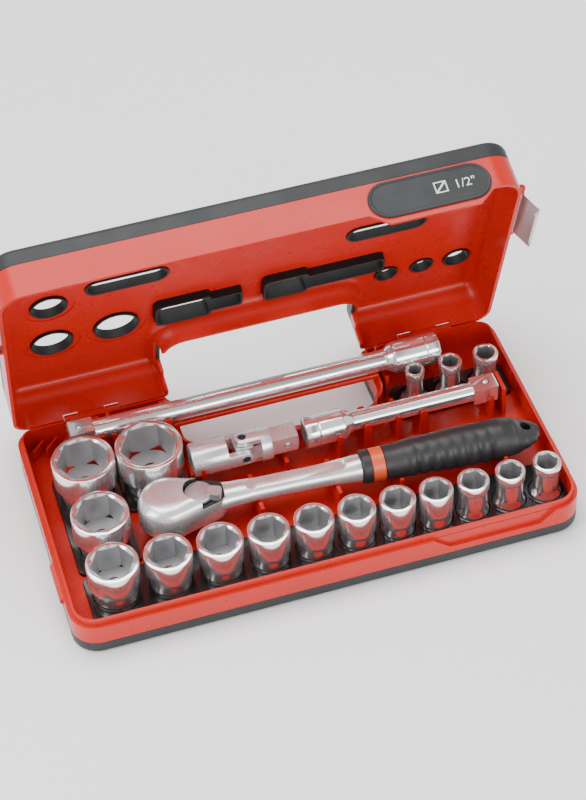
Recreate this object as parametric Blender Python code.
"""Socket wrench set in its two-shell carrying case, lid standing open.

The case stands on its underside at z = 0, its long side along X, its front at -Y.  The origin is
the middle of the underside.  All sizes below are in millimetres; MM turns them into metres.
"""
import math

import bmesh
import bpy
from mathutils import Matrix, Vector

MM = 0.001
GAP = 0.3                 # clearance between pieces that touch

# ---- case ----
CASE_LENGTH = 328.0
CASE_WIDTH = 174.0
FRONT_RADIUS = 17.0
REAR_RADIUS = 12.0
EDGE_ROUND = 5.0
SHELL_WALL = 2.4
SHELL_TOP = 9.4           # where the dark tray ends and the red frame begins
LEDGE_Z = 23.7            # parting line between base and lid
LIP_TOP = 28.0
LIP_WALL = 1.5
FRAME_FLOOR = 1.5
RIM_WALL = 2.2
NOTCH_LEFT = -60.0
NOTCH_RIGHT = 72.0
NOTCH_FRONT = 38.0
NOTCH_RADIUS = 14.0
MOUTH_RADIUS = 4.0
NOTCH_SILL = 21.0         # height of the low front wall of the hand opening
HANDLE_FRONT = 57.0
HANDLE_WIDTH = 19.0
HANDLE_THICK = 4.0

# ---- lid ----
OPEN_ANGLE = 72.0
HINGE_Y = CASE_WIDTH / 2 + 0.6
HINGE_Z = LEDGE_Z + GAP
LID_TOP = 58.0
COVER_WALL = 2.4
COVER_DEPTH = 12.1
COVER_SKIRT_Z = LID_TOP - COVER_DEPTH      # where the dark cover ends and the red band begins
LINER_WALL = 2.2
LINER_PANEL = 2.6
BOSS_WALL = 1.4
BOSS_PROUD = 1.0
LID_NOTCH_FRONT = 40.0
LID_SILL = 36.0
DIP_LEFT = 63.0
DIP_RIGHT = 146.0
DIP_DEPTH = 9.0
DIP_SLOPE = 12.0
BADGE_LENGTH = 78.0
BADGE_HEIGHT = 25.0
BADGE_THICK = 1.6
BADGE_X = 105.0
BADGE_Z = 31.5

# ---- hinges and latches ----
KNUCKLE_RADIUS = 4.0
PIN_RADIUS = 1.5
KNUCKLE_WIDTH = 9.0
LID_KNUCKLE_WIDTH = 18.0
HINGE_CENTRES = (-112.0, 118.0)
LATCH_Y = -40.0
LATCH_LENGTH = 46.0
LATCH_DROP = 17.0
LATCH_THICK = 1.5
LATCH_BARREL = 2.6
LATCH_PIN = 1.1
LATCH_PIN_Z = 31.0
LATCH_STANDOFF = 3.2
LATCH_SPLAY = 25.0
CATCH_TOP = 21.2
CATCH_DEPTH = 2.2

# ---- sockets ----
SQUARE = 12.7             # half-inch drive
FEMALE = 13.0
SOCKET_FOOT = SHELL_WALL + GAP
SMALL_FOOT_DIAMETER = 21.6
FRONT_ROW = (24, 22, 21, 19, 18, 17, 16, 15, 14, 13, 12)
FRONT_ROW_START_X = -131.1
FRONT_ROW_LINE_Y = -71.5
ROW_GAP = 2.8
REAR_ROW = (8, 10, 11)
REAR_ROW_START_X = 96.0
REAR_ROW_Y = 43.0
SOCKET_SIDES = 16
TRAY_TOP = 14.4
POCKET_GAP = 0.5

# ---- bars ----
LONG_BAR_LENGTH = 250.0
LONG_BAR_X = -132.2
LONG_BAR_Y = 61.5
LONG_BAR_Z = 37.0
LONG_SHAFT_RADIUS = 7.0
LONG_HEAD_RADIUS = 10.5
SHORT_BAR_LENGTH = 131.0
SHORT_BAR_X = 13.0
TOOL_ROW_Y = 20.5
TOOL_ROW_Z = 31.0
SHORT_SHAFT_RADIUS = 6.4
SHORT_HEAD_RADIUS = 10.6
SQUARE_LENGTH = 15.0
FEMALE_DEPTH = 16.0
BALL_RADIUS = 2.0
BALL_PROUD = 1.1
BALL_BORE = 9.0
BALL_TRAVEL = 1.0         # how far a ball goes in; its spring is drawn at that length

# ---- universal joint ----
UJ_RADIUS = 11.2
UJ_LEFT = -62.5
UJ_CENTRE = -28.0
UJ_RIGHT = 8.0
UJ_FORK_GAP = 12.6
UJ_BLOCK = 11.8
UJ_PIN_RADIUS = 2.6
UJ_YOKE_ROOT = 11.0
UJ_EAR_RADIUS = 5.0       # half the ears' width, and the round of their tips

# ---- ratchet ----
RATCHET_X = -86.2
RATCHET_Y = -14.4
RATCHET_Z = 33.0
RATCHET_YAW = -3.2
HEAD_RADIUS = 18.8
NECK_RADIUS = 10.5
HEAD_TO_SOCKET = 23.4     # from the head's edge to the middle of the socket behind it
BIG_SOCKETS = ((27, -129.2, -15.4), (30, -129.1, 30.5),
               (32, -86.9, RATCHET_Y + HEAD_RADIUS + HEAD_TO_SOCKET))
NECK_X = 27.0
GEAR_RADIUS = 12.5
GEAR_TEETH = 24
GEAR_CAVITY = GEAR_RADIUS + 2 * GAP
PAWL_REACH = 7.5          # from the wheel's edge to the pawl's post
LEVER_X = GEAR_RADIUS + PAWL_REACH
LEVER_RADIUS = 9.0
LEVER_Z = 6.2
PAWL_HUB = 4.6
PAWL_POCKET = 9.6
PAWL_SPRING = 6.4
STEEL_END = 124.0
SHANK_RADIUS = 5.5
SHANK_END = 205.0
GRIP_END = 241.0
RING_X = 130.0
RING_WIDTH = 9.0
HANG_HOLE_X = 235.0


# =====================================================================================
# helpers
# =====================================================================================
def clear_scene():
    for item in list(bpy.data.objects):
        bpy.data.objects.remove(item, do_unlink=True)


def material(name, colour, roughness, metallic=0.0):
    mat = bpy.data.materials.get(name)
    if mat is None:
        mat = bpy.data.materials.new(name)
        mat.use_nodes = True
        shader = mat.node_tree.nodes["Principled BSDF"]
        shader.inputs["Base Color"].default_value = (*colour, 1.0)
        shader.inputs["Roughness"].default_value = roughness
        shader.inputs["Metallic"].default_value = metallic
    return mat


def red_plastic():
    return material("red_plastic", (0.62, 0.045, 0.025), 0.32)


def dark_plastic():
    return material("dark_plastic", (0.055, 0.06, 0.06), 0.45)


def tray_plastic():
    return material("tray_plastic", (0.03, 0.03, 0.03), 0.35)


def chrome():
    return material("chrome", (0.8, 0.8, 0.82), 0.08, 1.0)


def satin_chrome():
    return material("satin_chrome", (0.72, 0.72, 0.73), 0.28, 1.0)


def black_grip():
    return material("black_grip", (0.02, 0.02, 0.02), 0.45)


def ring_plastic():
    return material("ring_plastic", (0.7, 0.12, 0.04), 0.4)


def steel():
    return material("steel", (0.5, 0.51, 0.52), 0.35, 1.0)


def finish(bm, name, mat=None):
    """Turn a closed bmesh in millimetres into an object in metres."""
    bmesh.ops.recalc_face_normals(bm, faces=bm.faces)
    bmesh.ops.scale(bm, vec=(MM, MM, MM), verts=bm.verts)
    mesh = bpy.data.meshes.new(name)
    bm.to_mesh(mesh)
    bm.free()
    obj = bpy.data.objects.new(name, mesh)
    bpy.context.scene.collection.objects.link(obj)
    if mat is not None:
        mesh.materials.append(mat)
    return obj


def smooth(obj, angle=32.0):
    obj.data.shade_smooth()
    obj.data.set_sharp_from_angle(angle=math.radians(angle))
    return obj


def loft(rings, name, mat=None):
    """Skin rings of equal point count; the first and the last ring are capped."""
    bm = bmesh.new()
    loops = [[bm.verts.new(point) for point in ring] for ring in rings]
    count = len(loops[0])
    for low, high in zip(loops, loops[1:]):
        for i in range(count):
            j = (i + 1) % count
            bm.faces.new((low[i], low[j], high[j], high[i]))
    bm.faces.new(loops[0])
    bm.faces.new(loops[-1])
    return finish(bm, name, mat)


def fillet_outline(corners, steps=3):
    """Round each (x, y, radius) corner of a polygon with an arc."""
    points = []
    count = len(corners)
    for i, (x, y, radius) in enumerate(corners):
        here = Vector((x, y))
        before = (Vector(corners[i - 1][:2]) - here).normalized()
        after = (Vector(corners[(i + 1) % count][:2]) - here).normalized()
        half = before.angle(after) / 2
        centre = here + (before + after).normalized() * (radius / math.sin(half))
        start = here + before * (radius / math.tan(half)) - centre
        sweep = (here + after * (radius / math.tan(half)) - centre)
        turn = start.angle_signed(sweep)
        for k in range(steps + 1):
            arm = Matrix.Rotation(-turn * k / steps, 2) @ start
            points.append((centre.x + arm.x, centre.y + arm.y))
    return points


def at_height(outline, z):
    return [(x, y, z) for x, y in outline]


def prism(outline, low, high, name, mat=None):
    return loft([at_height(outline, low), at_height(outline, high)], name, mat)


def box(low, high, name="box_cutter"):
    outline = [(low[0], low[1]), (high[0], low[1]), (high[0], high[1]), (low[0], high[1])]
    return prism(outline, low[2], high[2], name)


def circle(radius, sides, x=0.0, y=0.0, turn=0.0):
    steps = [turn + math.tau * k / sides for k in range(sides)]
    return [(x + radius * math.cos(a), y + radius * math.sin(a)) for a in steps]


def stadium(length, width, x=0.0, y=0.0, steps=8):
    radius = width / 2
    reach = length / 2 - radius
    points = []
    for side, start in ((1, -math.pi / 2), (-1, math.pi / 2)):
        for k in range(steps + 1):
            a = start + math.pi * k / steps
            points.append((x + side * reach + radius * math.cos(a), y + radius * math.sin(a)))
    return points


def lathe(profile, name, mat=None, sides=SOCKET_SIDES):
    """Turn (radius, height) points about Z; both ends are flat caps."""
    rings = [at_height(circle(radius, sides), height) for radius, height in profile]
    return loft(rings, name, mat)


def cylinder(radius, low, high, axis="Z", at=(0.0, 0.0), sides=16, name="round_cutter"):
    """A round bar along an axis; `at` gives its place on the other two axes in XYZ order."""
    obj = lathe([(radius, low), (radius, high)], name, sides=sides)
    turn = {"Z": Matrix.Identity(4),
            "X": Matrix(((0, 0, 1, 0), (1, 0, 0, 0), (0, 1, 0, 0), (0, 0, 0, 1))),
            "Y": Matrix(((0, 1, 0, 0), (0, 0, 1, 0), (1, 0, 0, 0), (0, 0, 0, 1)))}[axis]
    shift = {"Z": (at[0], at[1], 0.0), "X": (0.0, at[0], at[1]), "Y": (at[0], 0.0, at[1])}[axis]
    obj.data.transform(Matrix.Translation(Vector(shift) * MM) @ turn)
    return obj


def sphere(radius, place, name="ball_cutter", mat=None, sides=16, rings=8):
    bm = bmesh.new()
    bmesh.ops.create_uvsphere(bm, u_segments=sides, v_segments=rings, radius=radius)
    bmesh.ops.translate(bm, vec=place, verts=bm.verts)
    return finish(bm, name, mat)


def boolean(obj, tools, operation):
    """Apply one EXACT boolean with each tool in turn, then remove the tools."""
    for tool in tools:
        step = obj.modifiers.new(operation.lower(), "BOOLEAN")
        step.operation = operation
        step.solver = "EXACT"
        step.object = tool
        graph = bpy.context.evaluated_depsgraph_get()
        result = bpy.data.meshes.new_from_object(obj.evaluated_get(graph))
        obj.modifiers.clear()
        obj.data = result
        bpy.data.objects.remove(tool, do_unlink=True)
    return obj


def cut(obj, *tools):
    return boolean(obj, tools, "DIFFERENCE")


def join(obj, *tools):
    return boolean(obj, tools, "UNION")


def paint(obj, mat):
    obj.data.materials.clear()
    obj.data.materials.append(mat)
    for face in obj.data.polygons:
        face.material_index = 0
    return obj


def place(obj, x=0.0, y=0.0, z=0.0, turn=None):
    """Move an object's own origin to its place, in millimetres, with an optional turn."""
    obj.location = Vector((x, y, z)) * MM
    if turn is not None:
        obj.rotation_euler = turn
    return obj


def empty(name, x, y, z, turn=(0.0, 0.0, 0.0), parent=None):
    obj = bpy.data.objects.new(name, None)
    bpy.context.scene.collection.objects.link(obj)
    obj.location = Vector((x, y, z)) * MM
    obj.rotation_euler = turn
    obj.parent = parent
    return obj


# =====================================================================================
# case outlines
# =====================================================================================
def case_outline(inset, notch_front=NOTCH_FRONT):
    """The case's plan with its rear hand notch, moved inwards by `inset`."""
    x = CASE_LENGTH / 2 - inset
    y = CASE_WIDTH / 2 - inset
    left = NOTCH_LEFT - inset
    right = NOTCH_RIGHT + inset
    front = notch_front - inset
    outer = max(FRONT_RADIUS - inset, 1.0)
    rear = max(REAR_RADIUS - inset, 1.0)
    mouth = max(MOUTH_RADIUS - inset, 0.5)
    inner = NOTCH_RADIUS + inset
    return fillet_outline([
        (-x, -y, outer), (x, -y, outer), (x, y, rear), (right, y, mouth),
        (right, front, inner), (left, front, inner), (left, y, mouth), (-x, y, rear)])


def knuckle_spans(centre):
    """X ranges of the base's two knuckles and the lid's one on a hinge."""
    half = LID_KNUCKLE_WIDTH / 2
    lid = (centre - half, centre + half)
    base = ((centre - half - GAP - KNUCKLE_WIDTH, centre - half - GAP),
            (centre + half + GAP, centre + half + GAP + KNUCKLE_WIDTH))
    return base, lid


def hinge_bar(radius, span, name="hinge_cutter"):
    return cylinder(radius, span[0], span[1], "X", (HINGE_Y, HINGE_Z), 14, name)


def dip_outline(grow):
    """Side view (x, z) of the finger dip in the parting line, for the base and the lid tab."""
    low = LEDGE_Z - DIP_DEPTH - grow
    return [(DIP_LEFT - grow, LEDGE_Z + 1.0), (DIP_LEFT + DIP_SLOPE - grow, low),
            (DIP_RIGHT - DIP_SLOPE + grow, low), (DIP_RIGHT + grow, LEDGE_Z + 1.0)]


def upright_prism(outline, front, back, name="dip_cutter"):
    """Extrude an (x, z) outline along Y."""
    rings = [[(x, y, z) for x, z in outline] for y in (front, back)]
    return loft(rings, name)


# =====================================================================================
# base
# =====================================================================================
def build_base_shell():
    rings = [at_height(case_outline(SHELL_WALL), SHELL_WALL),
             at_height(case_outline(SHELL_WALL), SHELL_TOP),
             at_height(case_outline(0.0), SHELL_TOP),
             at_height(case_outline(0.0), 3.2),
             at_height(case_outline(0.9), 1.0),
             at_height(case_outline(2.6), 0.0)]
    return smooth(loft(rings, "base_shell", dark_plastic()))


def socket_diameter(size):
    return 1.25 * size + 2.9


def foot_diameter(size):
    return max(SMALL_FOOT_DIAMETER, 0.62 * socket_diameter(size) + 8.0)


def socket_span(size):
    return max(socket_diameter(size), foot_diameter(size))


def socket_places():
    """(size, x, y) of every socket: rows are spaced by the sockets' own widths."""
    places = []
    x = FRONT_ROW_START_X
    before = None
    for size in FRONT_ROW:
        if before is not None:
            x += (socket_span(before) + socket_span(size)) / 2 + ROW_GAP
        places.append((size, x, FRONT_ROW_LINE_Y + socket_span(size) / 2))
        before = size
    for k, size in enumerate(REAR_ROW):
        places.append((size, REAR_ROW_START_X + k * (SMALL_FOOT_DIAMETER + ROW_GAP), REAR_ROW_Y))
    places.extend(BIG_SOCKETS)
    return places


def tray_outline(sizes, edge=3.4):
    """Box round the pockets of some sockets, kept inside the frame's walls."""
    chosen = [(size, x, y) for size, x, y in socket_places() if size in sizes]
    wall = RIM_WALL + LIP_WALL + 2 * GAP
    limit_x = CASE_LENGTH / 2 - wall
    limit_y = CASE_WIDTH / 2 - wall
    reach = [foot_diameter(size) / 2 + edge for size, _, _ in chosen]
    low_x = max(min(x - r for (_, x, _), r in zip(chosen, reach)), -limit_x)
    high_x = min(max(x + r for (_, x, _), r in zip(chosen, reach)), limit_x)
    low_y = max(min(y - r for (_, _, y), r in zip(chosen, reach)), -limit_y)
    high_y = min(max(y + r for (_, _, y), r in zip(chosen, reach)), limit_y)
    return low_x, high_x, low_y, high_y


TRAYS = (("front_socket_tray", FRONT_ROW), ("rear_socket_tray", REAR_ROW),
         ("left_socket_tray", (27, 30)), ("centre_socket_tray", (32,)))


def build_trays():
    """Dark inserts whose pockets stand on the shell's floor."""
    for name, sizes in TRAYS:
        low_x, high_x, low_y, high_y = tray_outline(sizes)
        corners = [(low_x, low_y, 4.0), (high_x, low_y, 4.0), (high_x, high_y, 4.0), (low_x, high_y, 4.0)]
        tray = prism(fillet_outline(corners), SHELL_WALL + GAP, TRAY_TOP, name)
        pockets = [cylinder(foot_diameter(size) / 2 + POCKET_GAP, 0.0, TRAY_TOP + 5.0, "Z", (x, y))
                   for size, x, y in socket_places() if size in sizes]
        cut(tray, *pockets)
        smooth(paint(tray, tray_plastic()))


def rib(x, low_y, high_y, top, width=2.4):
    return box((x - width / 2, low_y, SHELL_TOP + GAP), (x + width / 2, high_y, top))


def ratchet_line_y(x):
    return RATCHET_Y + math.tan(math.radians(RATCHET_YAW)) * (x - RATCHET_X)


def build_base_frame():
    """Red rim: outer wall with its ledge and lip, tool floor, cradles, and the grip bar."""
    bottom = SHELL_TOP + GAP
    lip_outer = RIM_WALL + GAP
    lip_inner = lip_outer + LIP_WALL
    floor = bottom + FRAME_FLOOR
    rings = [at_height(case_outline(lip_inner), floor),
             at_height(case_outline(lip_inner), LIP_TOP),
             at_height(case_outline(lip_outer), LIP_TOP),
             at_height(case_outline(lip_outer), LEDGE_Z),
             at_height(case_outline(0.0), LEDGE_Z),
             at_height(case_outline(0.0), bottom)]
    frame = loft(rings, "base_frame")

    # the hand opening's front wall is low, so that fingers reach under the bar
    sill = box((NOTCH_LEFT + 4.0, NOTCH_FRONT - lip_inner - 1.0, NOTCH_SILL),
               (NOTCH_RIGHT - 4.0, NOTCH_FRONT + 20.0, LIP_TOP + 5.0))
    cut(frame, sill)

    # finger dip under the badge
    dip = upright_prism(dip_outline(0.0), -CASE_WIDTH / 2 - 2.0, -CASE_WIDTH / 2 + RIM_WALL)
    cut(frame, dip)

    # cradles for the bars, the joint and the ratchet
    short_top = TOOL_ROW_Z + 2.0
    swing_top = TOOL_ROW_Z - SQUARE / math.sqrt(2.0) - 2 * GAP
    cradles = [rib(-57.0, 8.0, 33.0, short_top), rib(-2.0, 8.0, 33.0, swing_top),
               rib(34.0, 7.0, 33.0, short_top), rib(75.0, 12.0, 30.0, short_top),
               rib(138.0, 10.0, 31.0, short_top)]
    for x in (-30.0, 20.0, 60.0, 128.0):
        y = ratchet_line_y(x)
        cradles.append(rib(x, y - 16.0, y + 15.0, RATCHET_Z - 2.0))
    cradles.append(rib(-126.0, LONG_BAR_Y - 9.5, LONG_BAR_Y + 12.0, LONG_BAR_Z + 3.0))
    cradles.append(rib(-104.0, LONG_BAR_Y - 9.0, LONG_BAR_Y + 12.0, LONG_BAR_Z + 1.0))
    cradles.append(rib(80.0, LONG_BAR_Y - 9.5, LONG_BAR_Y + 14.0, LONG_BAR_Z + 1.0))
    cradles.append(rib(113.0, LONG_BAR_Y - 4.0, LONG_BAR_Y + 15.0, LONG_BAR_Z - 1.0))
    join(frame, *cradles)

    # end stops beside the short bar and the joint
    stop_right = SHORT_BAR_X + SHORT_BAR_LENGTH + 1.6
    join(frame, box((stop_right, TOOL_ROW_Y - 8.5, bottom), (stop_right + 2.5, TOOL_ROW_Y + 8.5, TOOL_ROW_Z + 4.0)),
         box((UJ_LEFT - 2.4, TOOL_ROW_Y - 10.0, bottom), (UJ_LEFT - 0.6, TOOL_ROW_Y, TOOL_ROW_Z - 2.0)))

    # grip bar across the notch, under the long extension bar
    bar_top = LONG_BAR_Z - LONG_SHAFT_RADIUS - 3 * GAP
    span_left = NOTCH_LEFT - lip_inner + 0.2
    span_right = NOTCH_RIGHT + lip_inner - 0.2
    bar = [(HANDLE_FRONT, bar_top - HANDLE_THICK, 1.2),
           (HANDLE_FRONT + HANDLE_WIDTH, bar_top - HANDLE_THICK, 1.2),
           (HANDLE_FRONT + HANDLE_WIDTH, bar_top, 1.2), (HANDLE_FRONT, bar_top, 1.2)]
    section = fillet_outline(bar, 3)
    join(frame, loft([[(x, y, z) for y, z in section] for x in (span_left, span_right)], "grip_bar"))
    for x in (span_left, NOTCH_RIGHT):
        join(frame, box((x, HANDLE_FRONT + 0.6, floor - 0.5),
                        (x + lip_inner - 0.2, HANDLE_FRONT + HANDLE_WIDTH - 0.6, bar_top - 0.4)))

    # room for everything that lies in the frame: (radius, low x, high x, y, z)
    corner = SQUARE / math.sqrt(2.0)
    long_end = LONG_BAR_X + LONG_BAR_LENGTH
    short_end = SHORT_BAR_X + SHORT_BAR_LENGTH
    rooms = ((SHORT_HEAD_RADIUS, SHORT_BAR_X - 1.0, SHORT_BAR_X + 34.0, TOOL_ROW_Y, TOOL_ROW_Z),
             (SHORT_SHAFT_RADIUS, SHORT_BAR_X + 34.0, short_end - 20.0, TOOL_ROW_Y, TOOL_ROW_Z),
             (corner, short_end - 20.0, short_end + 1.0, TOOL_ROW_Y, TOOL_ROW_Z),
             (UJ_RADIUS, UJ_LEFT - 0.5, UJ_CENTRE + 19.0, TOOL_ROW_Y, TOOL_ROW_Z),
             (corner, UJ_CENTRE + 19.0, SHORT_BAR_X - 1.0, TOOL_ROW_Y, TOOL_ROW_Z),
             (corner, LONG_BAR_X - 1.0, LONG_BAR_X + 18.0, LONG_BAR_Y, LONG_BAR_Z),
             (LONG_SHAFT_RADIUS, LONG_BAR_X + 18.0, long_end - 40.0, LONG_BAR_Y, LONG_BAR_Z),
             (LONG_HEAD_RADIUS, long_end - 40.0, long_end + 1.0, LONG_BAR_Y, LONG_BAR_Z))
    shapes = []
    for radius, low_x, high_x, y, z in rooms:
        reach = radius + 2 * GAP
        shapes.append(cylinder(reach, low_x, high_x, "X", (y, z), 12))
        shapes.append(box((low_x, y - reach, z), (high_x, y + reach, z + 20.0)))
    handle = build_ratchet_room()
    cut(frame, *shapes, handle)

    # holes in the tool floor for the socket trays
    for _, sizes in TRAYS:
        low_x, high_x, low_y, high_y = tray_outline(sizes)
        corners = [(low_x - GAP, low_y - GAP, 4.0), (high_x + GAP, low_y - GAP, 4.0),
                   (high_x + GAP, high_y + GAP, 4.0), (low_x - GAP, high_y + GAP, 4.0)]
        cut(frame, prism(fillet_outline(corners), 0.0, floor + 6.0, "tray_cutter"))

    # hinge knuckles and catches
    for centre in HINGE_CENTRES:
        base_spans, lid_span = knuckle_spans(centre)
        cut(frame, hinge_bar(KNUCKLE_RADIUS + 0.5, (lid_span[0] - GAP, lid_span[1] + GAP)))
        for span in base_spans:
            join(frame, hinge_bar(KNUCKLE_RADIUS, span))
        cut(frame, hinge_bar(PIN_RADIUS + GAP, (base_spans[0][0] + 1.5, base_spans[1][1] + 2.0)))
    for side in (-1, 1):
        join(frame, catch(side))
    return smooth(paint(frame, red_plastic()), 28.0)


def catch(side):
    """Wedge on the base's side wall that the latch hooks under."""
    wall = CASE_LENGTH / 2
    outline = [(wall - 1.0, CATCH_TOP - 6.0), (wall + CATCH_DEPTH, CATCH_TOP - 4.5),
               (wall + CATCH_DEPTH, CATCH_TOP - 2.5), (wall - 1.0, CATCH_TOP + 1.0)]
    half = LATCH_LENGTH / 2 - 8.0
    rings = [[(side * x, y, z) for x, z in outline] for y in (LATCH_Y - half, LATCH_Y + half)]
    return loft(rings, "catch")


def build_ratchet_room():
    """Clear space round the lying ratchet, open upwards, to shape its cradles."""
    room = box((STEEL_END - 6.0, -14.0, -14.0), (GRIP_END + 2.0, 14.0, 16.0), "ratchet_room")
    join(room, box((25.0, -9.6, -9.0), (STEEL_END - 5.0, 9.6, 16.0)))
    head = box((-HEAD_RADIUS - 1.0, -HEAD_RADIUS - 1.0, -12.0), (30.0, HEAD_RADIUS + 1.0, 16.0))
    join(room, head)
    turn = Matrix.Rotation(math.radians(RATCHET_YAW), 4, "Z")
    move = Matrix.Translation(Vector((RATCHET_X, RATCHET_Y, RATCHET_Z)) * MM)
    room.data.transform(move @ turn)
    return room


def build_hinge_pins():
    for side, centre in zip(("left", "right"), HINGE_CENTRES):
        base_spans, _ = knuckle_spans(centre)
        pin = hinge_bar(PIN_RADIUS, (base_spans[0][0] + 2.0, base_spans[1][1] + 0.2), "hinge_pin_" + side)
        smooth(paint(pin, steel()))


# =====================================================================================
# lid, modelled closed and swung open about its hinge
# =====================================================================================
def window_shapes():
    """(name, outline maker) for each window; `grow` moves the outline outwards."""
    socket_at = {size: (x, y) for size, x, y in socket_places()}

    def round_window(size, radius):
        x, y = socket_at[size]
        return lambda grow: circle(radius + grow, 16, x, y)

    def slot(x, y, length, width):
        return lambda grow: stadium(length + 2 * grow, width + 2 * grow, x, y, 4)

    def joint_shape(grow):
        y = TOOL_ROW_Y
        return fillet_outline([
            (-61.0 - grow, y - 10.5 - grow, 5.0), (-27.0 + grow, y - 10.5 - grow, 3.0),
            (-27.0 + grow, y - 6.5 - grow, 1.0), (-6.0 + grow, y - 6.5 - grow, 2.0),
            (-6.0 + grow, y + 6.5 + grow, 2.0), (-27.0 + grow, y + 6.5 + grow, 1.0),
            (-27.0 + grow, y + 10.5 + grow, 3.0), (-61.0 - grow, y + 10.5 + grow, 5.0)], 2)

    def bar_shape(grow):
        y = TOOL_ROW_Y
        return fillet_outline([
            (11.0 - grow, y - 10.0 - grow, 4.0), (38.0 + grow, y - 10.0 - grow, 3.0),
            (38.0 + grow, y - 6.5 - grow, 1.0), (90.0 + grow, y - 6.5 - grow, 4.0),
            (90.0 + grow, y + 6.5 + grow, 4.0), (38.0 + grow, y + 6.5 + grow, 1.0),
            (38.0 + grow, y + 10.0 + grow, 3.0), (11.0 - grow, y + 10.0 + grow, 4.0)], 2)

    return [round_window(27, 10.5), round_window(30, 12.5), round_window(32, 13.5),
            round_window(8, 6.6), round_window(10, 6.6), round_window(11, 8.0),
            slot(-79.0, -26.0, 51.0, 13.0), slot(91.0, -17.0, 51.0, 13.0),
            joint_shape, bar_shape]


def lid_outline(inset):
    return case_outline(inset, LID_NOTCH_FRONT)


def build_lid_cover(pivot):
    """Dark outer cover: panel, short skirt, and a sleeve through the liner round each window."""
    inner = LID_TOP - COVER_WALL
    rings = [at_height(lid_outline(COVER_WALL), inner),
             at_height(lid_outline(COVER_WALL), COVER_SKIRT_Z),
             at_height(lid_outline(0.0), COVER_SKIRT_Z),
             at_height(lid_outline(0.0), LID_TOP - EDGE_ROUND),
             at_height(lid_outline(0.3 * EDGE_ROUND), LID_TOP - 0.3 * EDGE_ROUND),
             at_height(lid_outline(EDGE_ROUND), LID_TOP)]
    cover = loft(rings, "lid_cover")
    sleeve_low = inner - GAP - LINER_PANEL - BOSS_PROUD
    sleeves = [prism(shape(BOSS_WALL), sleeve_low, inner + 0.5, "sleeve") for shape in window_shapes()]
    join(cover, *sleeves)
    holes = [prism(shape(0.0), sleeve_low - 1.0, LID_TOP + 1.0, "window_cutter") for shape in window_shapes()]
    cut(cover, *holes)
    smooth(paint(cover, dark_plastic()), 28.0)
    return to_lid(cover, pivot)


def build_lid_liner(pivot):
    """Red inner shell: side band down to the parting line, window panel, hinge knuckles."""
    top = LID_TOP - COVER_WALL - GAP
    panel = top - LINER_PANEL
    band = COVER_SKIRT_Z - GAP
    inset = COVER_WALL + GAP
    low = LEDGE_Z + GAP
    rings = [at_height(lid_outline(LINER_WALL + inset + 5.0), panel),
             at_height(lid_outline(LINER_WALL + inset), panel - 6.0),
             at_height(lid_outline(LINER_WALL + inset * 0.5), band - 2.0),
             at_height(lid_outline(LINER_WALL), band - 6.0),
             at_height(lid_outline(LINER_WALL), low),
             at_height(lid_outline(0.0), low),
             at_height(lid_outline(0.0), band),
             at_height(lid_outline(inset), band),
             at_height(lid_outline(inset), top)]
    liner = loft(rings, "lid_liner")

    # the wall round the notch stops short, so that it clears the bar and the fingers
    wall = LINER_WALL + inset + 6.0
    cut(liner, box((NOTCH_LEFT - wall, LID_NOTCH_FRONT - wall, low - 1.0),
                   (NOTCH_RIGHT + wall, HANDLE_FRONT + HANDLE_WIDTH + 3.0, LID_SILL)),
        box((NOTCH_LEFT - wall, LONG_BAR_Y - 12.5, low - 1.0),
            (NOTCH_RIGHT + wall, LONG_BAR_Y + 12.0, LONG_BAR_Z + LONG_SHAFT_RADIUS + 2.0)))

    # tab that fills the finger dip of the base, and backs the badge
    back = -CASE_WIDTH / 2 + RIM_WALL - GAP
    side_gap = 2 * GAP
    tab_outline = [(DIP_LEFT + side_gap, low + 3.0), *dip_outline(-side_gap),
                   (DIP_RIGHT - side_gap, low + 3.0)]
    join(liner, upright_prism(tab_outline, -CASE_WIDTH / 2, back, "badge_tab"))

    holes = [prism(shape(BOSS_WALL + GAP), panel - 8.0, top + 1.0, "window_cutter")
             for shape in window_shapes()]
    cut(liner, *holes)
    for centre in HINGE_CENTRES:
        base_spans, lid_span = knuckle_spans(centre)
        for span in base_spans:
            cut(liner, hinge_bar(KNUCKLE_RADIUS + 0.5, (span[0] - GAP, span[1] + GAP)))
        join(liner, hinge_bar(KNUCKLE_RADIUS, lid_span))
        cut(liner, hinge_bar(PIN_RADIUS + GAP, (lid_span[0] - 1.0, lid_span[1] + 1.0)))
    for side in (-1, 1):
        join(liner, *latch_lugs(side))
    for side in (-1, 1):
        x = side * (CASE_LENGTH / 2 + LATCH_STANDOFF)
        half = LATCH_LENGTH / 2
        cut(liner, cylinder(LATCH_PIN + GAP, LATCH_Y - half - 3.0, LATCH_Y + half + 1.5, "Y",
                            (x, LATCH_PIN_Z), 12))
    smooth(paint(liner, red_plastic()), 28.0)
    return to_lid(liner, pivot)


def latch_lugs(side):
    """Two ears on the lid's side wall that carry a latch pin."""
    wall = CASE_LENGTH / 2
    x = side * (wall + LATCH_STANDOFF)
    half = LATCH_LENGTH / 2
    lugs = []
    for low in (LATCH_Y - half - 3.0, LATCH_Y + half):
        ear = cylinder(LATCH_BARREL, low, low + 3.0, "Y", (x, LATCH_PIN_Z), 16, "latch_lug")
        edges = sorted((side * (wall - 1.0), x))
        join(ear, box((edges[0], low, LATCH_PIN_Z - LATCH_BARREL),
                      (edges[1], low + 3.0, LATCH_PIN_Z + LATCH_BARREL)))
        lugs.append(ear)
    return lugs


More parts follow.
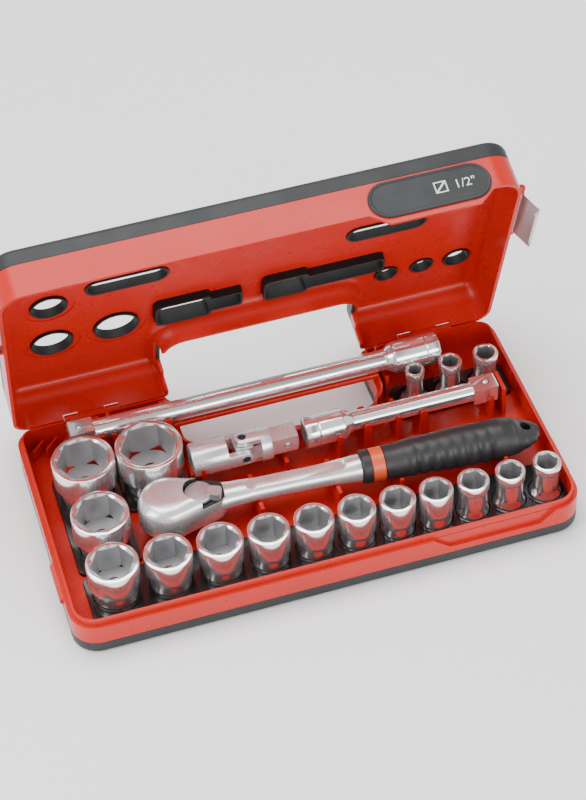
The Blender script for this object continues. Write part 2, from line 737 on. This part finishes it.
def build_badge(pivot):
    outline = stadium(BADGE_LENGTH, BADGE_HEIGHT, BADGE_X, BADGE_Z, 8)
    front = -CASE_WIDTH / 2 - BADGE_THICK - GAP
    rings = [[(x, front, z) for x, z in stadium(BADGE_LENGTH - 1.4, BADGE_HEIGHT - 1.4, BADGE_X, BADGE_Z, 8)],
             [(x, front + 0.7, z) for x, z in outline],
             [(x, -CASE_WIDTH / 2 - GAP, z) for x, z in outline]]
    badge = smooth(loft(rings, "badge_plate", dark_plastic()))
    return to_lid(badge, pivot)


def build_latches(pivot):
    """Spring-steel plates with a rolled eye and a hooked lower edge."""
    for side, label in ((-1, "left"), (1, "right")):
        x = side * (CASE_LENGTH / 2 + LATCH_STANDOFF)
        half = LATCH_LENGTH / 2 - GAP
        inward = -side
        outer = side * 0.5 * LATCH_THICK
        foot = -LATCH_DROP
        reach = LATCH_STANDOFF - 0.8
        plate = box((-LATCH_THICK / 2, -half, foot), (LATCH_THICK / 2, half, -LATCH_PIN), "latch_" + label)
        hook = sorted((outer, inward * reach))
        join(plate, box((hook[0], -half + 6.0, foot), (hook[1], half - 6.0, foot + LATCH_THICK)))
        eye = cylinder(LATCH_BARREL - 0.2, -half, half, "Y", (0.0, 0.0), 16)
        join(plate, eye)
        cut(plate, cylinder(LATCH_PIN + GAP, -half - 1.0, half + 1.0, "Y", (0.0, 0.0), 12))
        smooth(paint(plate, steel()), 28.0)
        hinge = empty("latch_pivot_" + label, x, LATCH_Y - HINGE_Y, LATCH_PIN_Z - HINGE_Z,
                      (0.0, -side * math.radians(LATCH_SPLAY), 0.0), pivot)
        plate.parent = hinge
        pin = cylinder(LATCH_PIN, -LATCH_LENGTH / 2 - 2.6, LATCH_LENGTH / 2 + 1.0, "Y", (0.0, 0.0), 12,
                       "latch_pin_" + label)
        smooth(paint(pin, steel()))
        pin.parent = hinge


def to_lid(obj, pivot):
    """Hang a piece, modelled closed in case coordinates, on the lid's pivot."""
    obj.data.transform(Matrix.Translation(Vector((0.0, -HINGE_Y, -HINGE_Z)) * MM))
    obj.parent = pivot
    return obj


# =====================================================================================
# sockets
# =====================================================================================
def socket_length(size):
    return {24: 40.0, 27: 42.0, 30: 44.0, 32: 45.0}.get(size, 38.0)


def socket_profile(size):
    """Outline from the drive end up: foot, hollow neck, and the wide hexagon end."""
    top = socket_diameter(size) / 2
    foot = foot_diameter(size) / 2
    length = socket_length(size)
    waist = min(top, foot) - 0.9
    head = 0.42 * length if top > foot else 5.0
    return [(foot - 0.6, 0.0), (foot, 0.9), (foot, 0.25 * length), (waist, 0.46 * length),
            (waist, length - head - 3.0), (top, length - head), (top, length)]


def build_socket(size, x, y):
    length = socket_length(size)
    across = size + 0.3
    hex_radius = across / math.sqrt(3.0)
    hex_depth = 0.5 * length
    square_depth = 15.5
    body = lathe(socket_profile(size), "socket_%02d" % size)
    bores = [prism(circle(hex_radius, 6), length - hex_depth, length + 1.0, "hex_cutter"),
             prism(circle(FEMALE / math.sqrt(2.0), 4, turn=math.pi / 4), -1.0, square_depth, "square_cutter"),
             cylinder(min(size, FEMALE) * 0.4, square_depth - 1.0, length - hex_depth + 1.0, sides=12)]
    cut(body, *bores)
    smooth(paint(body, chrome()), 35.0)
    return place(body, x, y, SOCKET_FOOT)


# =====================================================================================
# drive squares, balls and springs
# =====================================================================================
def square_prism(across, low, high, chamfer=0.8):
    """Square bar along X with a chamfered right end."""
    half = across / 2

    def ring(x, inset):
        h = half - inset
        return [(x, -h, -h), (x, h, -h), (x, h, h), (x, -h, h)]
    return loft([ring(low, 0.0), ring(high - chamfer, 0.0), ring(high, chamfer)], "square")


def lathe_x(profile, name, sides=SOCKET_SIDES):
    """Turn (x, radius) points about X."""
    rings = []
    for x, radius in profile:
        rings.append([(x, y, z) for y, z in circle(radius, sides)])
    return loft(rings, name)


def coil(name, length, radius, wire, turns, mat):
    """Compression spring along +Z from the origin, as a bevelled curve."""
    curve = bpy.data.curves.new(name, "CURVE")
    curve.dimensions = "3D"
    curve.bevel_depth = wire * MM
    curve.bevel_resolution = 0
    curve.use_fill_caps = True
    spline = curve.splines.new("POLY")
    count = turns * 6
    spline.points.add(count)
    for k in range(count + 1):
        a = math.tau * k / 6
        point = Vector((radius * math.cos(a), radius * math.sin(a), wire + (length - 2 * wire) * k / count))
        spline.points[k].co = (*(point * MM), 1.0)
    obj = bpy.data.objects.new(name, curve)
    bpy.context.scene.collection.objects.link(obj)
    curve.materials.append(mat)
    return obj


def detent(prefix, parent, x, seat, turn):
    """Ball and spring in the bore of a drive square; `turn` takes +Z to the ball's side."""
    holder = empty(prefix + "_detent", x, 0.0, 0.0, turn, parent)
    height = seat + BALL_PROUD - BALL_RADIUS
    ball = smooth(sphere(BALL_RADIUS, (0.0, 0.0, 0.0), prefix + "_ball", satin_chrome(), 10, 6))
    ball.location = Vector((0.0, 0.0, height)) * MM
    ball.parent = holder
    low = seat - BALL_BORE + GAP
    length = height - BALL_RADIUS - BALL_TRAVEL - GAP - low
    spring = coil(prefix + "_ball_spring", length, 1.2, 0.25, 3, steel())
    spring.location = Vector((0.0, 0.0, low)) * MM
    spring.parent = holder


def detent_bore(x, seat, direction):
    """Blind bore in a drive square for the ball, from the face at `seat`."""
    span = (seat - BALL_BORE, seat + 1.0)
    if direction == "Z":
        return cylinder(BALL_RADIUS + GAP, span[0], span[1], "Z", (x, 0.0), 12)
    return cylinder(BALL_RADIUS + GAP, -span[1], -span[0], "Y", (x, 0.0), 12)


def bar_profile(length, head_length, head_radius, shaft_radius, flip):
    """(x, radius) outline of an extension bar, its socket end at the right unless flipped."""
    outline = [(SQUARE_LENGTH, shaft_radius - 1.2), (SQUARE_LENGTH + 1.5, shaft_radius),
               (length - head_length - 8.0, shaft_radius), (length - head_length, head_radius),
               (length - 1.0, head_radius), (length, head_radius - 0.9)]
    if flip:
        outline = [(length - x, radius) for x, radius in reversed(outline)]
    return outline


def build_long_bar():
    base = empty("long_extension", LONG_BAR_X, LONG_BAR_Y, LONG_BAR_Z)
    outline = bar_profile(LONG_BAR_LENGTH, 30.0, LONG_HEAD_RADIUS, LONG_SHAFT_RADIUS, False)
    bar = lathe_x(outline, "long_extension_bar")
    drive = square_prism(SQUARE, -SQUARE_LENGTH - 2.0, 0.0)
    drive.data.transform(Matrix.Rotation(math.pi, 4, "Z"))
    join(bar, drive)
    half = FEMALE / 2
    cut(bar, box((LONG_BAR_LENGTH - FEMALE_DEPTH, -half, -half), (LONG_BAR_LENGTH + 1.0, half, half)),
        detent_bore(SQUARE_LENGTH / 2, SQUARE / 2, "Z"))
    smooth(paint(bar, chrome()))
    bar.parent = base
    detent("long_extension", base, SQUARE_LENGTH / 2, SQUARE / 2, (0.0, 0.0, 0.0))


def build_short_bar():
    base = empty("short_extension", SHORT_BAR_X, TOOL_ROW_Y, TOOL_ROW_Z)
    outline = bar_profile(SHORT_BAR_LENGTH, 25.0, SHORT_HEAD_RADIUS, SHORT_SHAFT_RADIUS, True)
    bar = lathe_x(outline, "short_extension_bar")
    join(bar, square_prism(SQUARE, SHORT_BAR_LENGTH - SQUARE_LENGTH - 2.0, SHORT_BAR_LENGTH))
    half = FEMALE / 2
    ball_x = SHORT_BAR_LENGTH - SQUARE_LENGTH / 2
    cut(bar, box((-1.0, -half, -half), (FEMALE_DEPTH, half, half)), detent_bore(ball_x, SQUARE / 2, "Z"))
    smooth(paint(bar, chrome()))
    bar.parent = base
    detent("short_extension", base, ball_x, SQUARE / 2, (0.0, 0.0, 0.0))


# =====================================================================================
# universal joint
# =====================================================================================
def ear_trim(towards, fork):
    """One cutter round both ears: straight sides, and round tips about the pin."""
    root = -towards * UJ_YOKE_ROOT
    past = towards * (UJ_EAR_RADIUS + 3.0)
    arc = [(towards * UJ_EAR_RADIUS * math.sin(a), UJ_EAR_RADIUS * math.cos(a))
           for a in (math.pi * k / 10 for k in range(11))]
    outline = [(root, UJ_EAR_RADIUS), *arc, (root, -UJ_EAR_RADIUS), (root, -20.0),
               (past, -20.0), (past, 20.0), (root, 20.0)]
    if fork == "Y":
        return upright_prism(outline, -20.0, 20.0, "ear_cutter")
    return prism(outline, -20.0, 20.0, "ear_cutter")


def yoke(name, body_low, body_high, towards, fork):
    """A turned body with two ears that reach the joint's centre; `fork` is the ears' side."""
    rounded = UJ_RADIUS
    end = towards * (UJ_EAR_RADIUS + 0.6)
    low, high = sorted((body_low, body_high))
    ear_low, ear_high = sorted((body_high if towards > 0 else body_low, end))
    ear_low, ear_high = min(low, ear_low), max(high, ear_high)
    body = lathe_x([(ear_low, rounded - 0.8), (ear_low + 0.9, rounded), (ear_high - 1.6, rounded),
                    (ear_high, rounded - 1.6)], name)
    half = UJ_FORK_GAP / 2
    root = -towards * UJ_YOKE_ROOT
    cut_low, cut_high = sorted((root, end + towards * 2.0))
    if fork == "Y":
        cut(body, box((cut_low, -half, -20.0), (cut_high, half, 20.0)))
    else:
        cut(body, box((cut_low, -20.0, -half), (cut_high, 20.0, half)))
    cut(body, ear_trim(towards, fork))
    cut(body, cylinder(UJ_PIN_RADIUS + GAP, -20.0, 20.0, fork, (0.0, 0.0), 16))
    return body


def build_universal_joint():
    centre = empty("universal_joint", UJ_CENTRE, TOOL_ROW_Y, TOOL_ROW_Z)
    left = UJ_LEFT - UJ_CENTRE
    right = UJ_RIGHT - UJ_CENTRE
    socket_side = yoke("uj_socket_yoke", left, -UJ_YOKE_ROOT, 1, "Y")
    half = FEMALE / 2
    cut(socket_side, box((left - 1.0, -half, -half), (left + FEMALE_DEPTH, half, half)))
    smooth(paint(socket_side, satin_chrome()), 30.0)
    socket_side.parent = centre

    drive_side = yoke("uj_drive_yoke", UJ_YOKE_ROOT, UJ_YOKE_ROOT + 7.0, -1, "Z")
    join(drive_side, square_prism(SQUARE, UJ_YOKE_ROOT + 5.0, right))
    ball_x = right - SQUARE_LENGTH / 2
    cut(drive_side, detent_bore(ball_x, SQUARE / 2, "Y"))
    smooth(paint(drive_side, satin_chrome()), 30.0)
    drive_side.parent = centre
    detent("uj", centre, ball_x, SQUARE / 2, (math.pi / 2, 0.0, 0.0))

    block = UJ_BLOCK / 2
    cross = box((-block, -block, -block), (block, block, block), "uj_cross")
    reach = UJ_RADIUS - 1.0
    join(cross, cylinder(UJ_PIN_RADIUS, -reach, reach, "Y", (0.0, 0.0), 16),
         cylinder(UJ_PIN_RADIUS, -reach, reach, "Z", (0.0, 0.0), 16))
    smooth(paint(cross, satin_chrome()), 30.0)
    cross.parent = centre


# =====================================================================================
# ratchet, in its own frame: head centre at the origin, handle along +X, drive square down
# =====================================================================================
def pear(inset, z):
    """Outline round the big head circle and the smaller neck circle, both shrunk by `inset`."""
    big = HEAD_RADIUS - inset
    small = NECK_RADIUS - inset
    lean = math.acos((big - small) / NECK_X)
    points = []
    for k in range(15):
        a = lean + (math.tau - 2 * lean) * k / 14
        points.append((big * math.cos(a), big * math.sin(a), z))
    for k in range(7):
        a = -lean + 2 * lean * k / 6
        points.append((NECK_X + small * math.cos(a), small * math.sin(a), z))
    return points


def oval_ring(x, wide, tall, sides=16):
    return [(x, wide * math.cos(a), tall * math.sin(a)) for a in
            (math.tau * (k + 0.5) / sides for k in range(sides))]


def build_ratchet():
    turn = (0.0, 0.0, math.radians(RATCHET_YAW))
    base = empty("ratchet", RATCHET_X, RATCHET_Y, RATCHET_Z, turn)
    pieces = [build_ratchet_body(), build_cover_plate(), build_lever(), build_pawl()]
    pieces += [build_grip(), build_grip_ring()]
    for piece in pieces:
        piece.parent = base
    gear = build_gear()
    gear.parent = base
    spring = coil("pawl_spring", PAWL_SPRING, 1.1, 0.25, 3, steel())
    spring.rotation_euler = (0.0, math.pi / 2, 0.0)
    spring.location = Vector((LEVER_X + PAWL_HUB + GAP, 0.0, -3.0)) * MM
    spring.parent = base
    holder = empty("ratchet_drive", 0.0, 0.0, -16.0, (0.0, 0.0, 0.0), base)
    detent("ratchet", holder, 0.0, SQUARE / 2, (math.pi / 2, 0.0, 0.0))


def build_ratchet_body():
    layers = [(1.0, -10.0), (0.0, -9.0), (0.0, 3.0), (0.9, 7.0), (3.2, 10.0), (7.5, 12.0)]
    body = loft([pear(inset, z) for inset, z in layers], "ratchet_body")
    neck = [(22.0, 7.5, 5.5), (34.0, 9.6, 7.6), (42.0, 8.8, 7.2), (60.0, 7.6, 6.6),
            (96.0, 7.6, 6.8), (114.0, 8.6, 7.8), (STEEL_END - 0.4, 9.0, 8.6)]
    join(body, loft([oval_ring(*ring) for ring in neck], "neck"))
    join(body, lathe_x([(110.0, SHANK_RADIUS), (SHANK_END, SHANK_RADIUS)], "shank", 16))
    pocket_low = -11.0
    cavity_top = 2.6
    cut(body, cylinder(GEAR_CAVITY, pocket_low, cavity_top, sides=32))
    cut(body, cylinder(PAWL_POCKET, pocket_low - 1.0, cavity_top + 0.1, "Z", (LEVER_X - 1.0, 0.0), 20))
    cut(body, cylinder(1.7, LEVER_X + PAWL_HUB, LEVER_X + PAWL_HUB + PAWL_SPRING + 2 * GAP, "X", (0.0, -3.0), 10))
    cut(body, cylinder(2.9, 0.0, 14.0, "Z", (LEVER_X, 0.0), 16))
    cut(body, cylinder(LEVER_RADIUS + GAP, LEVER_Z - GAP, 16.0, "Z", (LEVER_X, 0.0), 24))
    cut(body, box((LEVER_X, -20.0, LEVER_Z - 2 * GAP), (LEVER_X + 15.5, 20.0, 16.0)))
    # shallow panel along the top of the handle
    cut(body, prism(stadium(66.0, 9.0, 82.0, 0.0, 4), 5.6, 12.0, "panel_cutter"))
    return smooth(paint(body, satin_chrome()), 30.0)


def build_cover_plate():
    plate = lathe([(GEAR_CAVITY - GAP, -9.8), (GEAR_CAVITY - GAP, -8.5)], "ratchet_cover_plate", sides=28)
    join(plate, box((LEVER_X - 8.0, -6.4, -9.8), (LEVER_X + 5.0, 6.4, -8.5)))
    cut(plate, cylinder(9.3, -12.0, -5.0))
    return smooth(paint(plate, satin_chrome()), 30.0)


def build_gear():
    """Toothed wheel, its journal, and the drive square below."""
    outline = []
    for k in range(GEAR_TEETH):
        for radius, part in ((GEAR_RADIUS, 0.0), (GEAR_RADIUS - 1.0, 0.5)):
            a = math.tau * (k + part) / GEAR_TEETH
            outline.append((radius * math.cos(a), radius * math.sin(a)))
    gear = prism(outline, -8.1, 2.2, "ratchet_gear")
    join(gear, cylinder(9.0, -10.4, -7.0))
    half = SQUARE / 2
    tip = [(half, -20.6), (half - 0.8, -21.4)]
    rings = [[(-h, -h, z), (h, -h, z), (h, h, z), (-h, h, z)] for h, z in [(half, -9.0)] + tip]
    join(gear, loft(rings, "drive_square"))
    bore = cylinder(BALL_RADIUS + GAP, -half - 1.0, -half + BALL_BORE, "Y", (0.0, -16.0), 12)
    cut(gear, bore)
    return smooth(paint(gear, satin_chrome()), 25.0)


def build_pawl():
    """Two-lobed pawl on the lever's post; either lobe can meet the wheel's teeth."""
    pawl = cylinder(PAWL_HUB, -8.0, 2.1, "Z", (LEVER_X, 0.0), 16, "pawl")
    lobes = fillet_outline([(LEVER_X - 6.8, -6.6, 0.6), (LEVER_X - 2.5, -6.6, 0.6),
                            (LEVER_X - 2.5, 6.6, 0.6), (LEVER_X - 6.8, 6.6, 0.6)], 2)
    join(pawl, prism(lobes, -8.0, 2.1, "lobes"))
    cut(pawl, cylinder(2.5 + GAP, -9.0, 4.0, "Z", (LEVER_X, 0.0), 16))
    return smooth(paint(pawl, steel()), 30.0)


def build_lever():
    """Oval turn plate with a thumb tab, on a post that passes through the pawl."""
    lever = cylinder(LEVER_RADIUS, LEVER_Z, LEVER_Z + 2.2, "Z", (LEVER_X, 0.0), 24, "reversing_lever")
    tab = fillet_outline([(6.0, -3.6, 1.5), (14.6, -4.2, 2.4), (14.6, 4.2, 2.4), (6.0, 3.6, 1.5)], 3)
    thumb = prism(tab, LEVER_Z, LEVER_Z + 5.2, "thumb")
    turn = Matrix.Rotation(math.radians(-24.0), 4, "Z")
    thumb.data.transform(Matrix.Translation(Vector((LEVER_X, 0.0, 0.0)) * MM) @ turn)
    join(lever, thumb, cylinder(2.5, -8.0, LEVER_Z + 0.5, "Z", (LEVER_X, 0.0), 16))
    return smooth(paint(lever, satin_chrome()), 30.0)


def build_grip():
    """Soft sleeve over the shank, swelling to the palm and closing to an eye at its end."""
    rings = [(STEEL_END, 10.2, 10.2), (STEEL_END + 1.2, 10.9, 10.9), (RING_X + RING_WIDTH + 2.0, 11.0, 11.0),
             (160.0, 12.4, 12.4), (190.0, 13.4, 13.4), (215.0, 13.4, 13.3), (224.0, 12.6, 11.4),
             (231.0, 11.2, 7.6), (237.0, 8.6, 5.4), (GRIP_END, 4.5, 4.4)]
    grip = loft([oval_ring(*ring, 18) for ring in rings], "grip")
    cut(grip, cylinder(SHANK_RADIUS + GAP, STEEL_END - 2.0, SHANK_END + 0.5, "X", (0.0, 0.0), 16))
    cut(grip, cylinder(3.4, -12.0, 12.0, "Z", (HANG_HOLE_X - 2.5, 0.0), 14))
    groove = lathe_x([(RING_X, 14.0), (RING_X + RING_WIDTH, 14.0)], "groove")
    cut(groove, lathe_x([(RING_X - 1.0, 9.6), (RING_X + RING_WIDTH + 1.0, 9.6)], "groove_core", 20))
    cut(grip, groove)
    return smooth(paint(grip, black_grip()), 40.0)


def build_grip_ring():
    ring = lathe_x([(RING_X + GAP, 10.9), (RING_X + RING_WIDTH - GAP, 10.9)], "grip_ring", 24)
    cut(ring, lathe_x([(RING_X - 1.0, 9.6 + GAP), (RING_X + RING_WIDTH + 1.0, 9.6 + GAP)], "bore", 24))
    return smooth(paint(ring, ring_plastic()))


# =====================================================================================
def main():
    clear_scene()
    build_base_shell()
    build_base_frame()
    build_trays()
    build_hinge_pins()
    pivot = empty("lid_pivot", 0.0, HINGE_Y, HINGE_Z, (-math.radians(OPEN_ANGLE), 0.0, 0.0))
    build_lid_cover(pivot)
    build_lid_liner(pivot)
    build_badge(pivot)
    build_latches(pivot)
    for size, x, y in socket_places():
        build_socket(size, x, y)
    build_long_bar()
    build_short_bar()
    build_universal_joint()
    build_ratchet()


main()
